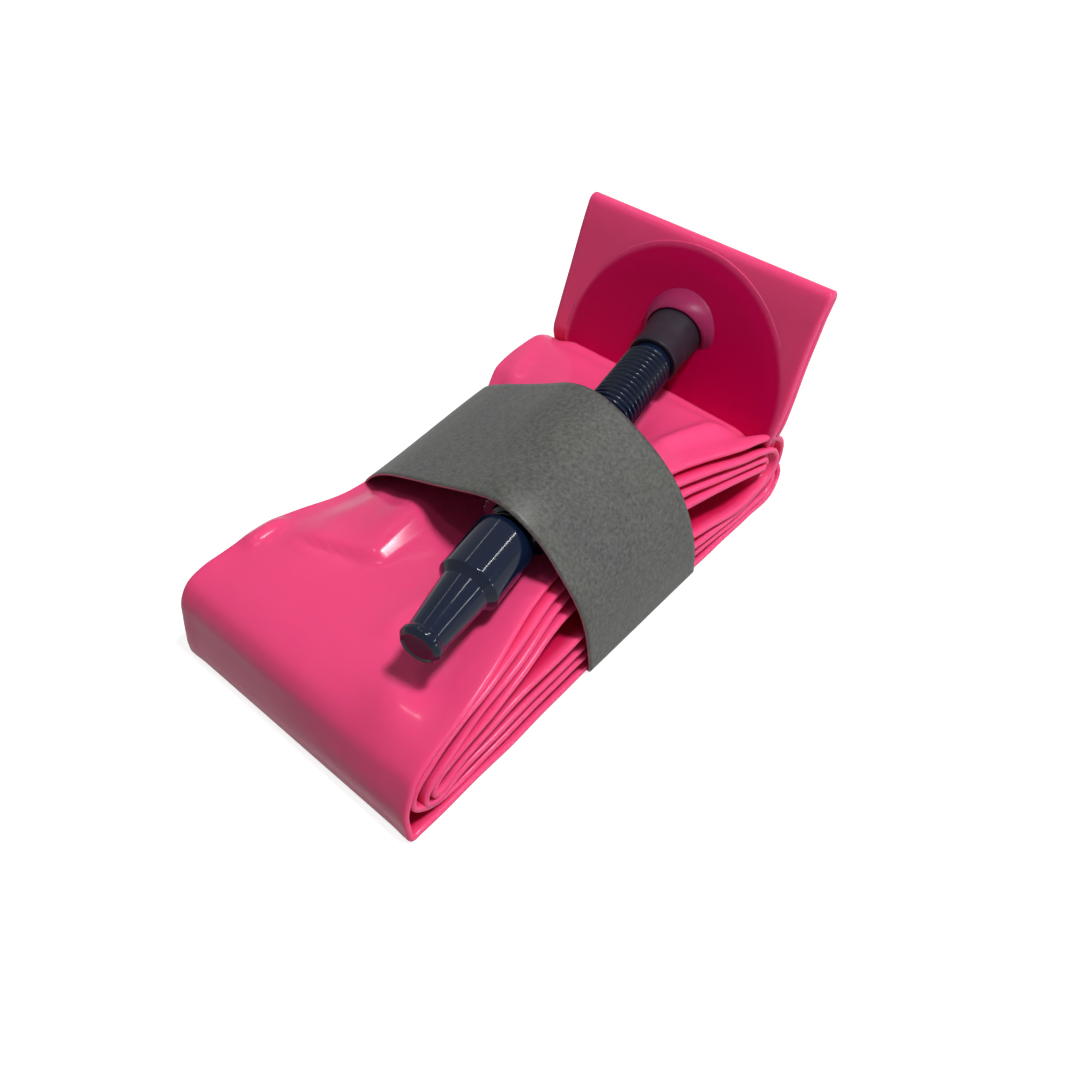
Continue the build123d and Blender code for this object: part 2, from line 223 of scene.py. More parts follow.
def addBump(tree, shader, layers):
    # bumps stacked one on another: (height socket, strength, distance in metres)
    normal = None
    for height, strength, distance in layers:
        inputs = {"Height": height, "Strength": strength, "Distance": distance}
        if normal:
            inputs["Normal"] = normal
        normal = addNode(tree, "ShaderNodeBump", inputs).outputs["Normal"]
    tree.links.new(normal, shader.inputs["Normal"])


def objectPlace(tree):  # a point's place in the frame, in metres
    return addNode(tree, "ShaderNodeTexCoord").outputs["Object"]


def noise(tree, place, scale, detail, **more):  # more holds further inputs
    inputs = {"Vector": place, "Scale": scale, "Detail": detail, **more}
    return addNode(tree, "ShaderNodeTexNoise", inputs).outputs["Fac"]


def attributeValue(tree, name):
    return addNode(tree, "ShaderNodeAttribute", attribute_name=name).outputs["Fac"]


def spread(tree, value, low, high, toLow, toHigh):  # low to high becomes toLow to toHigh
    return addNode(
        tree, "ShaderNodeMapRange",
        {"Value": value, "From Min": low, "From Max": high, "To Min": toLow, "To Max": toHigh},
    ).outputs["Result"]


def mixedColour(tree, share, first, second, blend="MIX"):
    # first where share is 0, second where it is 1; "MULTIPLY" multiplies them instead
    mix = addNode(tree, "ShaderNodeMix", data_type="RGBA", blend_type=blend)
    for socket, value in ((mix.inputs[0], share), (mix.inputs[6], first), (mix.inputs[7], second)):
        if isinstance(value, bpy.types.NodeSocket):
            tree.links.new(value, socket)
        else:
            socket.default_value = value
    return mix.outputs[2]


def cloudyTone(tree, cloud, tones):
    return colourRamp(tree, cloud, [(0.1, (*tones[0], 1)), (0.9, (*tones[1], 1))])


# The grain of each finish. Noise scales are per metre; a bump is its strength and its
# height in metres.
filmGrain = {
    "clouds": 70.0, "haze": 2600.0, "lineStretch": (14, 600, 14),
    "lineBump": (0.05, 0.00004), "hazeBump": (0.03, 0.00002),
    "glow": 0.35, "glowColours": (1.0, 0.2, 0.35), "glowDepth": 0.0015,
}
anodisedGrain = {"clouds": 400.0, "marks": 9000.0, "markHeight": 0.00002, "specular": 0.32}
mouldedGrain = {"clouds": 300.0, "pits": 3500.0, "pitHeight": 0.00003, "specular": 0.15}
brassGrain = {"clouds": 700.0, "bump": (0.1, 0.00002)}
cardGrain = {
    "speckle": 2200.0, "clouds": 160.0, "fibre": 1100.0,
    "fibreBump": (0.35, 0.00006), "speckleBump": (0.2, 0.00003),
    "warm": (1.12, 1.08, 1.0),
}


def filmMaterial(name, finish, otherTones=None, share=None):
    # glossy film: cloudy tone, faint drawing lines along the tube, fine haze; the tone
    # goes over to the other one by the share kept in the named attribute
    grain = filmGrain
    roughness = finish["roughness"]
    material, tree, shader = newMaterial(
        name, Roughness=roughness, IOR=1.5, Specular_IOR_Level=finish["specular"],
        Subsurface_Weight=grain["glow"], Subsurface_Radius=grain["glowColours"],
        Subsurface_Scale=grain["glowDepth"],
    )
    place = objectPlace(tree)
    cloud = noise(tree, place, grain["clouds"], 2.0)
    tone = cloudyTone(tree, cloud, finish["tones"])
    if otherTones:
        other = cloudyTone(tree, cloud, otherTones)
        tone = mixedColour(tree, attributeValue(tree, share), tone, other)
    tree.links.new(tone, shader.inputs["Base Color"])
    stretched = addNode(
        tree, "ShaderNodeMapping", {"Vector": place, "Scale": grain["lineStretch"]}
    ).outputs["Vector"]
    lines = noise(tree, stretched, 1.0, 2.0)
    haze = noise(tree, place, grain["haze"], 2.0)
    gloss = spread(tree, haze, 0.2, 0.8, roughness * 0.85, roughness * 1.15)
    tree.links.new(gloss, shader.inputs["Roughness"])
    addBump(tree, shader, [(lines, *grain["lineBump"]), (haze, *grain["hazeBump"])])
    return material


def anodisedMaterial(name, finish):
    # dyed aluminium: turning marks are rings along the valve's axis
    grain = anodisedGrain
    roughness = finish["roughness"]
    material, tree, shader = newMaterial(
        name, Base_Color=(*finish["colour"], 1), Roughness=roughness, IOR=1.5,
        Specular_IOR_Level=grain["specular"],
    )
    place = objectPlace(tree)
    along = addNode(
        tree, "ShaderNodeVectorMath",
        {0: place, 1: tuple(valveAxis)}, operation="DOT_PRODUCT",
    ).outputs["Value"]
    marks = addNode(
        tree, "ShaderNodeTexNoise", {"W": along, "Scale": grain["marks"], "Detail": 2.0},
        noise_dimensions="1D",
    ).outputs["Fac"]
    cloud = noise(tree, place, grain["clouds"], 3.0)
    gloss = spread(tree, cloud, 0.3, 0.7, roughness * 0.8, roughness * 1.3)
    tree.links.new(gloss, shader.inputs["Roughness"])
    addBump(tree, shader, [(marks, finish["turning"], grain["markHeight"])])
    return material


def mouldedMaterial(name, finish):
    # moulded plastic or rubber: slightly cloudy colour and a fine pitted skin
    grain = mouldedGrain
    material, tree, shader = newMaterial(
        name, Roughness=finish["roughness"], IOR=1.5, Specular_IOR_Level=grain["specular"]
    )
    place = objectPlace(tree)
    pits = noise(tree, place, grain["pits"], 3.0)
    cloud = noise(tree, place, grain["clouds"], 2.0)
    dark = tuple(c * 0.8 for c in finish["colour"])
    light = tuple(c * 1.25 for c in finish["colour"])
    tone = colourRamp(tree, cloud, [(0.3, (*dark, 1)), (0.7, (*light, 1))])
    tree.links.new(tone, shader.inputs["Base Color"])
    addBump(tree, shader, [(pits, finish["grain"], grain["pitHeight"])])
    return material


def brassMaterial(name, finish):  # cloudy yellow metal
    material, tree, shader = newMaterial(name, Metallic=1.0, Roughness=finish["roughness"])
    cloud = noise(tree, objectPlace(tree), brassGrain["clouds"], 4.0)
    dark, light = finish["tones"]
    tone = colourRamp(tree, cloud, [(0.3, (*dark, 1)), (0.7, (*light, 1))])
    tree.links.new(tone, shader.inputs["Base Color"])
    addBump(tree, shader, [(cloud, *brassGrain["bump"])])
    return material


def cardMaterial(name, finish):
    # card: speckled dark print on the faces, a little warmer in clouds; pale fibre with a painted
    # pink tint of bounce light from the tube on the cut edges, chosen by the piece's own "cut" attribute
    grain = cardGrain
    material, tree, shader = newMaterial(
        name, Roughness=finish["roughness"], IOR=1.5, Specular_IOR_Level=finish["specular"]
    )
    place = objectPlace(tree)
    speckle = noise(tree, place, grain["speckle"], 4.0, Roughness=0.7)
    cloud = noise(tree, place, grain["clouds"], 3.0)
    dark = tuple(c * 0.6 for c in finish["face"])
    light = tuple(c * 1.5 for c in finish["face"])
    face = colourRamp(tree, speckle, [(0.32, (*dark, 1)), (0.68, (*light, 1))])
    warm = colourRamp(tree, cloud, [(0.35, (1, 1, 1, 1)), (0.7, (*grain["warm"], 1))])
    tone = mixedColour(tree, 1.0, face, warm, "MULTIPLY")
    # cut edges: pale fibre with painted pink bounce light from the tube
    tone = mixedColour(tree, attributeValue(tree, "cut"), tone, (*finish["cut"], 1))
    tree.links.new(tone, shader.inputs["Base Color"])
    fibre = noise(tree, place, grain["fibre"], 5.0, Roughness=0.65)
    addBump(tree, shader, [(fibre, *grain["fibreBump"]), (speckle, *grain["speckleBump"])])
    return material


tubeFinish = {
    "tones": [(0.80, 0.056, 0.185), (0.86, 0.074, 0.218)], "roughness": 0.18, "specular": 0.17,
    # the deep tones below are painted shade, a darker crimson for film between the layers
    "gapShadeTones": [(0.56, 0.006, 0.060), (0.62, 0.010, 0.075)],    # between the layers
}
patchFinish = {
    "tones": [(0.54, 0.0, 0.07), (0.60, 0.0, 0.085)], "roughness": 0.3, "specular": 0.08,
}
# painted shade and sheen: the patch's crimson film given a darker, greyer mauve tone for how the ring catches
# light
bossShadeSheenFinish = {
    "tones": [(0.26, 0.015, 0.08), (0.31, 0.020, 0.095)], "roughness": 0.4, "specular": 0.14,
}
collarFinish = {"colour": (0.022, 0.015, 0.024), "roughness": 0.4, "grain": 0.25}
turnedFinish = {"colour": (0.003, 0.008, 0.025), "roughness": 0.08, "turning": 0.03}
threadFinish = {"colour": (0.003, 0.008, 0.025), "roughness": 0.14, "turning": 0.02}
brassFinish = {"tones": [(0.60, 0.46, 0.25), (0.78, 0.62, 0.36)], "roughness": 0.28}
sealFinish = {"colour": (0.02, 0.02, 0.02), "roughness": 0.6, "grain": 0.2}
# the cut colour is pale fibre with painted pink bounce light from the tube
bandFinish = {
    "face": (0.069, 0.071, 0.069), "cut": (0.45, 0.3, 0.31), "roughness": 0.45,
    "specular": 0.35,
}
# the "inside" attribute lays the painted shade on film between the layers
tubePink = filmMaterial("tubePink", tubeFinish, tubeFinish["gapShadeTones"], "inside")
patchCrimson = filmMaterial("patchCrimson", patchFinish, tubeFinish["tones"], "rim")
# the boss: the patch's crimson film with painted shade and sheen
bossShadeAndSheen = filmMaterial("bossShadeAndSheen", bossShadeSheenFinish)
collarPlastic = mouldedMaterial("collarPlastic", collarFinish)
navyAnodised = anodisedMaterial("navyAnodised", turnedFinish)
navyThread = anodisedMaterial("navyThread", threadFinish)
machinedBrass = brassMaterial("machinedBrass", brassFinish)
sealRubber = mouldedMaterial("sealRubber", sealFinish)
bandCard = cardMaterial("bandCard", bandFinish)
print("materials ready")

tubeShape = {
    "halfWidth": 18.0, "thickness": 0.6, "flapThickness": 1.1, "flapLean": 23.5,
    "edgeBead": 0.28,                     # how much thicker the folded edges are, as a share
    "edgeWave": 0.05,                     # ripple of the edges
    "rollStart": (18.5, 23),              # walked distance over which the flap ends
    "outsideEnd": 165, "flapEnd": 19,     # walked distances at which a strand gets covered
    "step": 0.6, "acrossPoints": 56, "edgePoints": 6, "foldPoints": 9,
}
lean = np.radians(tubeShape["flapLean"])

# The doubled tube's way through the roll, one row per station, for its outer strand and
# its inner strand. A row holds x, z and the pull of the edge towards the middle at the
# right side, the right corner's flare in x, then x, z and pull at the left side. Stations
# run down the flap, forwards on the floor, up the front, back over the top, down at the
# far end, and once more round inside.
outerStrand = [
    (71.2, 26.65, -0.1, 0, 71.2, 26.65, 0.35), (70.25, 24.9, 0, 0, 70.25, 24.9, 0.35),
    (69.3, 22.6, 0.1, 0, 69.3, 22.6, 0.3), (67.61, 18.7, 0.2, 0, 67.61, 18.7, 0.25),
    (65.61, 14.1, 0.15, 0, 65.61, 14.1, 0.1), (64.74, 12.1, 0.2, 0, 64.74, 12.1, 0.05),
    (64.35, 11.2, 0.3, 0, 64.35, 11.2, 0.05),
    (64.3, 8.6, 1.0, 0, 64.6, 8.3, 0.2), (65.6, 5.6, 1.3, 0, 65.5, 5.5, 0.6),
    (66.2, 3.2, 0.6, 0, 65.6, 2.8, 0.5), (64.7, 1.3, 0.2, 0, 63.6, 0.85, 0.2),
    (59, 0.8, 0.1, 0, 59, 0.55, 0), (45, 0.75, 0.2, 0, 45, 0.55, 0.3),
    (27, 0.7, 0, 0, 25, 0.55, 0.2), (12, 0.55, -0.35, 0, 10, 0.55, 0),
    (1.8, 0.5, -0.4, 0, 1.8, 0.5, -0.2), (0.47, 0.57, -0.4, 0, 0.47, 0.57, -0.3),
    (0.36, 1.8, -0.3, 0, 0.36, 1.8, -0.4), (0.5, 4.2, -0.1, 0, 0.55, 3.6, -0.35),
    (1.45, 6.5, 0, 0, 0.95, 6.2, -0.35), (2.4, 8.0, 0, 0, 1.5, 8.8, -0.3),
    (3.8, 8.95, 0, 0, 2.6, 10.3, -0.25), (5.9, 9.95, 0.1, 0, 4.6, 10.95, -0.25),
    (8.8, 11.05, 0.25, 0, 7.4, 11.1, -0.15), (13, 12.0, 0.8, 0, 12.5, 11.4, 0.2),
    (18, 12.9, 1.9, 0, 18, 11.0, 0.7), (24, 13.9, 3.3, 0, 24, 10.3, 1.3),
    (35, 14.4, 4.1, 0, 35, 10.3, 1.9), (46, 14.5, 4.0, 0, 46, 10.3, 1.7),
    (52, 13.7, 2.6, 0, 52, 11.0, 0), (57, 12.3, 1.2, 0.8, 56.5, 11.3, -0.2),
    (60.2, 11.0, 0.7, 2.4, 60.2, 10.9, -0.2), (61.8, 9.2, 0.5, 3.4, 62.2, 9.4, 0),
    (62.1, 6.8, 0.4, 3.6, 62.5, 7.0, 0), (61.3, 4.6, 0.3, 3.4, 61.2, 4.6, 0.1),
    (57.5, 2.9, 0.2, 1.2, 58, 3.6, 0.1), (50, 3.8, 0.2, 0, 50, 3.6, 0.3),
    (42, 4.7, 0.4, 0, 40, 3.6, 0.4), (27, 4.5, 0.1, 0, 25, 3.6, 0.3),
    (13, 3.7, 0, 0, 13, 3.6, 0.1), (7.4, 2.9, 0, 0, 7, 3.3, 0), (4.8, 2.2, 0, 0, 3.8, 3.7, 0),
    (3.4, 2.7, 0, 0, 3.1, 5.2, 0), (3.35, 4.1, 0, 0, 3.2, 7.3, 0),
    (4.1, 5.3, 0, 0, 3.9, 8.9, 0), (5.8, 6.4, 0, 0, 5.8, 9.6, 0),
    (8.5, 7.6, 0.1, 0, 9, 9.6, 0), (13, 9.4, 0.3, 0, 14, 9.3, 0.1),
    (18, 10.5, 0.6, 0, 20, 8.7, 0.5), (25, 11.8, 1.8, 0, 26, 8.4, 0.8),
    (35, 12.0, 2.2, 0, 35, 8.4, 1.1), (46, 11.8, 2.2, 0, 46, 8.4, 1.0),
    (54, 10.2, 1.0, 0.6, 54, 8.6, 0.2), (58.8, 8.0, 0.4, 3.2, 57.5, 8.6, 0),
]
innerStrand = [
    (70.2, 27.05, -0.15, 0, 70.2, 27.05, 0.35), (69.25, 25.3, 0, 0, 69.25, 25.3, 0.35),
    (68.2, 23.0, 0.1, 0, 68.2, 23.0, 0.3), (66.51, 19.2, 0.15, 0, 66.51, 19.2, 0.25),
    (64.52, 14.6, 0.1, 0, 64.52, 14.6, 0.1), (63.61, 12.5, 0.2, 0, 63.61, 12.5, 0.05),
    (63.21, 11.6, 0.3, 0, 63.21, 11.6, 0.05),
    (63.1, 8.5, 1.0, 0, 63.5, 8.0, 0.2), (64.4, 5.4, 1.3, 0, 64.3, 5.2, 0.6),
    (64.9, 3.4, 0.6, 0, 64.4, 3.3, 0.5), (63.6, 2.3, 0.2, 0, 62.8, 1.95, 0.2),
    (59, 1.7, 0.2, 0, 59, 1.55, 0), (45, 2.7, 0.4, 0, 45, 1.6, 0.3),
    (27, 2.8, 0.1, 0, 25, 1.6, 0.2), (13, 2.0, 0, 0, 10, 1.5, 0), (7.5, 1.4, 0, 0, 5, 1.4, 0),
    (4.4, 1.9, 0, 0, 2.6, 1.6, 0), (2.6, 3.1, 0, 0, 1.75, 2.6, 0), (1.75, 4.3, 0, 0, 1.5, 4.0, 0),
    (2.05, 6.2, 0, 0, 1.75, 6.2, 0), (2.95, 7.35, 0, 0, 2.2, 8.6, 0),
    (4.3, 8.3, 0, 0, 3.1, 10.0, 0), (6.1, 9.3, 0.05, 0, 4.8, 10.5, 0),
    (9.0, 10.4, 0.1, 0, 7.4, 10.4, 0), (13, 11.25, 0.4, 0, 12.5, 10.3, 0.1),
    (18, 12.0, 1.1, 0, 18, 9.9, 0.6), (24, 12.9, 2.2, 0, 24, 9.4, 1.1),
    (35, 13.2, 3.0, 0, 35, 9.4, 1.5), (46, 13.2, 2.9, 0, 46, 9.4, 1.3),
    (52, 12.3, 1.6, 0, 52, 9.8, 0.1), (56.5, 10.8, 0.7, 0.8, 56, 10.1, 0),
    (59.2, 9.6, 0.4, 2.2, 59.2, 9.9, 0), (60.7, 8.2, 0.3, 3.2, 60.8, 8.6, 0),
    (61.1, 6.6, 0.2, 3.4, 61.2, 7.0, 0), (60.3, 5.0, 0.2, 3.2, 60.2, 5.5, 0),
    (57, 4.0, 0.1, 1.2, 57.3, 4.7, 0), (50, 5.3, 0.3, 0, 50, 4.7, 0.3),
    (42, 6.6, 0.8, 0, 40, 4.7, 0.4), (27, 6.9, 0.2, 0, 25, 4.7, 0.3),
    (13, 5.5, 0, 0, 13, 4.7, 0.1), (8, 4.3, 0, 0, 8, 4.6, 0), (5.8, 3.3, 0, 0, 5.0, 4.9, 0),
    (4.5, 3.2, 0, 0, 4.2, 5.7, 0), (4.5, 4.3, 0, 0, 4.1, 7.2, 0),
    (5.3, 5.2, 0, 0, 4.8, 8.2, 0), (7.0, 5.9, 0, 0, 6.6, 8.5, 0),
    (9.5, 6.9, 0, 0, 10, 8.5, 0), (13.5, 8.1, 0, 0, 14, 8.2, 0),
    (18, 9.1, 0.3, 0, 20, 7.6, 0.3), (25, 10.3, 1.1, 0, 26, 7.3, 0.5),
    (35, 10.6, 1.6, 0, 35, 7.3, 0.7), (46, 10.4, 1.7, 0, 46, 7.3, 0.6),
    (54, 9.0, 0.6, 0.6, 54, 7.4, 0), (58.6, 6.9, 0.2, 3.0, 57.5, 7.4, 0),
]


def strandRoute(rows):
    # smooth line through the rows, each side by its own distances: hermite pieces with
    # the mean slope of the neighbouring runs, the same number of points for both sides;
    # the last column is the distance walked
    rows = np.array(rows, float)
    right, left = rows[:, :4], rows[:, 4:]
    spans = []
    counts = np.maximum(
        4, np.linalg.norm(np.diff(left[:, :2], axis=0), axis=1) / tubeShape["step"]
    ).astype(int)
    for side in (right, left):
        steps = np.linalg.norm(np.diff(side[:, :2], axis=0), axis=1)
        slope = np.gradient(side, np.concatenate([[0], np.cumsum(steps)]), axis=0)
        at = np.concatenate(
            [k + np.arange(count) / count for k, count in enumerate(counts)] + [[len(rows) - 1.0]]
        )
        k = np.minimum(at.astype(int), len(rows) - 2)
        t, h = (at - k)[:, None], steps[k][:, None]
        spans.append(hermite(t, side[k], h * slope[k], side[k + 1], h * slope[k + 1]))
    walked = np.concatenate([
        [0], np.cumsum(np.linalg.norm(np.diff(spans[1][:, :2], axis=0), axis=1))
    ])
    return np.concatenate([*spans, walked[:, None]], 1)          # 4 + 3 + 1 columns


def foldOver(start, end, ahead):
    # half-round fold from one strand's end to the other's, bulging ahead, in every column
    angles = np.linspace(0, np.pi, tubeShape["foldPoints"])[1:-1, None]
    middle, arm = (start + end) / 2, (start - end) / 2
    fold = middle + np.cos(angles) * arm
    for x, z in ((0, 1), (4, 5)):
        radius = np.hypot(arm[x], arm[z])
        direction = unit(np.array([ahead[x], ahead[z]]))
        fold[:, [x, z]] += np.sin(angles) * radius * direction
    return fold


outer, inner = strandRoute(outerStrand), strandRoute(innerStrand)
tubeLoop = np.concatenate([
    outer, foldOver(outer[-1], inner[-1], outer[-1] - outer[-2]),
    inner[::-1], foldOver(inner[0], outer[0], inner[0] - inner[1]),
])


def flatSection():
    # once round a flattened tube, right fold to left fold and back: y, and the share of
    # half the thickness; straight walls with closer points at the sides, half-round folds
    width, thick = tubeShape["halfWidth"], tubeShape["thickness"] / 2
    s = np.linspace(-1, 1, tubeShape["acrossPoints"])
    y = (width - thick) * (0.3 * np.sin(s * np.pi / 2) + 0.7 * s)
    angle = np.linspace(-np.pi / 2, np.pi / 2, tubeShape["edgePoints"] + 2)[1:-1]
    edgeY, edgeH = width - thick + thick * np.cos(angle), np.sin(angle)
    return (
        np.concatenate([y, edgeY[::-1], y[::-1], -edgeY]),
        np.concatenate([np.ones(len(s)), edgeH[::-1], -np.ones(len(s)), edgeH]),
    )


def valveLine(x):  # the valve's y above a place on the roll
    return valveFoot[1] + (x - valveFoot[0]) * valveAxis[1] / valveAxis[0]


reliefHeights = {                         # each one's place is in topRelief
    "crown": 0.55, "hump": 2.0, "groove": 1.1, "capDent": 0.9, "cushion": 1.05,
    "frontCrease": 0.24, "capRidge": 0.4, "curledRim": 0.85, "rightBump": 0.8,
    "farRidge": 0.75, "farLeftRidge": 0.5, "farEnd": 1.1, "leftDroop": 1.3,
}


def topRelief(x, y):
    # rise and fall of the roll's upper face between its two edges, as a sum of bells and
    # windows in x and y
    size = reliefHeights
    beside = valveLine(x)
    # a low crown, with a hump left of the valve and a groove below it under the band
    rise = size["crown"] * smoothStep(18, 10, np.abs(y)) * window(x, 2, 9, 58, 62)
    rise = rise + size["hump"] * bell(y, 5.0, 4.6) * window(x, 15, 26, 48, 58)
    rise = rise - size["groove"] * bell(y, beside, 3.8) * window(x, 15, 24, 50, 60)
    rise = rise - size["capDent"] * bell(y, beside, 4.2) * bell(x, 12, 6)
    # a dished cushion in front of the band with a crease round it
    creaseY = 2.9 + 9.8 * smoothStep(18.0, 13.0, x)
    cushion = smoothStep(-1.1, 1.4, y - creaseY) * smoothStep(12.0, 15.0, x)
    cushion = cushion * (1 - 0.4 * smoothStep(2, 7, y - creaseY) * smoothStep(15, 19, x))
    cushion = cushion * smoothStep(31, 23, x) * smoothStep(17.5, 9.5, y)
    rise = rise + size["cushion"] * cushion
    creaseX = 13.1 + 3.7 * smoothStep(10.5, 2.5, y)
    rise = rise + size["frontCrease"] * bell(x, creaseX, 0.55) * window(y, 2.6, 4.0, 12.6, 14.4)
    # ridges beside the cap and on the rims
    capSide = beside + 6.0 - 0.25 * (x - 16)
    rise = rise + size["capRidge"] * bell(y, capSide, 1.5) * window(x, 9, 13, 19, 22)
    rise = rise + size["curledRim"] * bell(y, 16.6, 1.0) * window(x, 9.0, 11.0, 13.5, 16.0)
    rise = rise + size["rightBump"] * bell(x, 5.8, 2.6) * bell(y, -11.8, 3.4)
    # behind the band
    rise = rise + size["farRidge"] * bell(y, -12.4, 1.4) * window(x, 48.5, 51, 57, 61)
    rise = rise + size["farLeftRidge"] * bell(y, 15.2 + 0.2 * (x - 52), 1.4) * bell(x, 53, 4.0)
    rise = rise + size["farEnd"] * bell(x, 61.9, 1.1) * smoothStep(16.6, 13, np.abs(y))
    droop = smoothStep(12.0, 17.5, y) * window(x, 13, 25, 48.0, 51.8)
    return rise - size["leftDroop"] * droop


def tubeGrid():
    # each strand's middle line is blended from the right side's to the left side's, then
    # the wall is set off square to it by half the thickness; the edges are pulled in and
    # ripple by the sum of three sines of the distance walked
    y, h = flatSection()
    walked = tubeLoop[:, 7:]
    side = np.broadcast_to(y, (len(tubeLoop), len(y)))
    share = smoothStep(-17, 6, y)
    x = tubeLoop[:, 0:1] * (1 - share) + tubeLoop[:, 4:5] * share
    z = tubeLoop[:, 1:2] * (1 - share) + tubeLoop[:, 5:6] * share
    x = x + tubeLoop[:, 3:4] * smoothStep(-15.0, -17.6, y)         # right corner's flare
    roll = smoothStep(*tubeShape["rollStart"], walked)
    high = smoothStep(3.5, 11.0, z) * roll                        # only the upper layers
    z = z + topRelief(x, y) * high
    wave = tubeShape["edgeWave"] * (
        np.sin(walked / 5.3) + 0.7 * np.sin(walked / 2.7 + 1.3) + 0.5 * np.sin(walked / 1.45 + 0.4)
    )
    pull = np.where(side < 0, tubeLoop[:, 2:3], tubeLoop[:, 6:7]) + wave * roll
    newY = side - np.sign(side) * pull * smoothStep(3, 17, np.abs(side))
    z = z + 0.6 * wave * roll * smoothStep(12, 17, np.abs(side))
    alongX = np.roll(x, -1, 0) - np.roll(x, 1, 0)
    alongZ = np.roll(z, -1, 0) - np.roll(z, 1, 0)
    length = np.hypot(alongX, alongZ)
    flap = tubeShape["flapThickness"] / tubeShape["thickness"]
    thick = tubeShape["thickness"] / 2 * (roll + (1 - roll) * flap)
    bead = 1 + tubeShape["edgeBead"] * roll * smoothStep(15.3, 17.2, np.abs(side))
    x = x - alongZ / length * h * thick * bead
    z = z + alongX / length * h * thick * bead
    return np.stack(np.broadcast_arrays(x, newY, z), -1)


def gapShadeShare():
    # share of painted shade, 1 on film that lies deep in the roll, where light only comes
    # through other layers: walls turned to the sister strand, and all walls past the strand's
    # last open place; 0 on the folded edges
    y, h = flatSection()
    isOuter = np.arange(len(tubeLoop)) < len(outer)
    limit = np.where(isOuter, tubeShape["outsideEnd"], tubeShape["flapEnd"])[:, None]
    covered = smoothStep(limit - 2, limit + 3, tubeLoop[:, 7:])
    hidden = np.maximum(covered, smoothStep(0.5, -0.5, h))
    return hidden * smoothStep(17.8, 16.5, np.abs(y))


# its "inside" attribute is the share of painted shade between the layers
tube = meshPiece(
    "tube", modelPoints(tubeGrid()), aroundU=True, aroundV=True,
    attribute=("inside", gapShadeShare()),
)
finishPiece(
    tube, "tube_and_valve", tubePink, "tube_pink",
    "tube_flap_front", "tube_flap_back", "tube_flap_fold", "tube_outer_turn_outside",
    "tube_outer_turn_inside", "tube_inner_turn_outside", "tube_inner_turn_inside",
    "tube_tail_fold",
)
print("tube rolled")

patchShape = {
    "radius": 16.6, "drop": 6.0, "thickness": 0.16, "rim": 3.0, "foot": -8.2,
    "under": 0.25,                        # how deep its back lies in the film
    "onFlap": 0.8,                        # the flap's front face above the valve's foot
    "around": 160,
}
upFlap = np.array([np.sin(lean), 0, np.cos(lean)])
offFlap = np.array([-np.cos(lean), 0, np.sin(lean)])
flapSide = np.cross(offFlap, upFlap)
patchFoot = valveFoot - offFlap * patchShape["onFlap"]
valveUp = unit(np.array([0, 0, 1.0]) - valveAxis * valveAxis[2])
valveSide = np.cross(valveAxis, valveUp)


def patchGrid():
    # disc on the flap, spun round the valve's foot: at each angle its reach is the nearer
    # of the disc's circle, root(radius^2 - (drop sin)^2) - drop cos, and the flap's foot,
    # foot / cos; it tapers to nothing over the rim and comes back underneath; also gives
    # the rim's share of the film's own tone
    radius, drop = patchShape["radius"], patchShape["drop"]
    angle = np.linspace(0, 2 * np.pi, patchShape["around"], endpoint=False)
    c, s = np.cos(angle), np.sin(angle)
    circle = np.sqrt(radius**2 - (drop * s) ** 2) - drop * c
    foot = patchShape["foot"] / np.minimum(c, -1e-3)
    reach = np.where(c < 0, np.minimum(circle, foot), circle)
    share = np.concatenate([np.linspace(0, 0.86, 24), np.linspace(0.87, 1, 14)])[:, None]
    r = share * reach
    inside = circle - r
    height = patchShape["thickness"] * smoothStep(0, patchShape["rim"], inside)
    r = np.concatenate([r, r[::-1]])
    height = np.concatenate([height, np.full(height.shape, -patchShape["under"])])
    rimShare = smoothStep(1.0, 0.1, inside)
    grid = patchFoot + (r * c)[..., None] * upFlap + (r * s)[..., None] * flapSide
    return grid + height[..., None] * offFlap, np.concatenate([rimShare, rimShare[::-1]])


grid, rimShare = patchGrid()
patch = meshPiece(
    "valvePatch", modelPoints(grid), aroundV=True, merge=True, attribute=("rim", rimShare)
)
finishPiece(patch, "tube_and_valve", patchCrimson, "patch_crimson", "valve_patch")

bossShape = {
    # share of the valve's own direction, radius and height on the flap, radius and place
    # on the valve
    "rows": [
        (0, 5.6, -0.2, 5, 0), (0, 5.35, 0.1, 5, 0), (0, 5.15, 0.35, 5, 0),
        (0.3, 4.85, 0.6, 4.8, 0.1), (0.6, 4.55, 0.8, 4.4, 0.3), (0.85, 4.3, 0.9, 4.0, 0.5),
        (1, 4, 1, 3.72, 0.5), (1, 4, 1, 3.55, 0.25), (1, 4, 1, 3.4, -0.7),
    ],
    "back": [(3.4, -0.9), (5.6, -0.9)],   # radius and height on the flap, closing the ring
    "sunk": 0.3,                          # lower on the side below the valve
    "around": 96, "across": 33,
}


